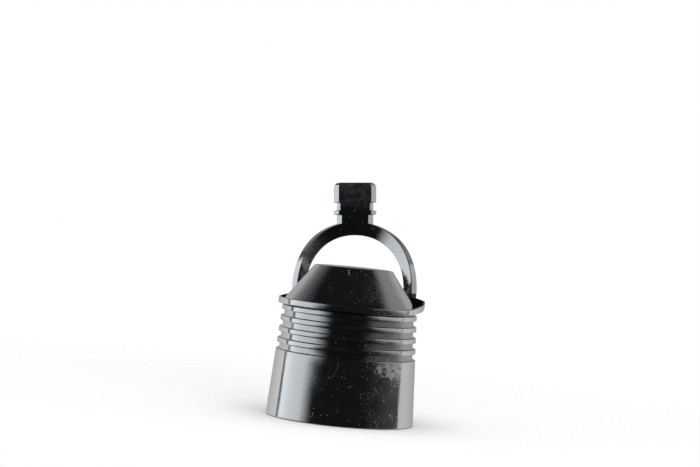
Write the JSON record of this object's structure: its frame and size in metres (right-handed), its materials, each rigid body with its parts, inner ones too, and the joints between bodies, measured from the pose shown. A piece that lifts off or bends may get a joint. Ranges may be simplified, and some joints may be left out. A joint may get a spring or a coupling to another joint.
{
  "type": "tow ball cover",
  "caption": "Soft ribbed cap with a conical crown that pushes over a tow ball, with a folded belt behind it that carries a retaining ring and a grooved pull tab.",
  "frame": {"origin": "centre of the covered tow ball, on the cap's axis, 40.8 mm above the mouth", "axes": "+Z along the cap's axis from the mouth to the crown, +Y from the cap towards the belt and the ring behind it, +X to the right as the cap is seen from the side without the belt"},
  "size_m": [0.064, 0.0704, 0.1032],
  "materials": {
    "soft_pvc": "glossy black soft PVC, with fine dust, faint scuffs and one dull smudge"
  },
  "bodies": {
    "root": {"cover": "soft_pvc"}
  },
  "joints": []
}
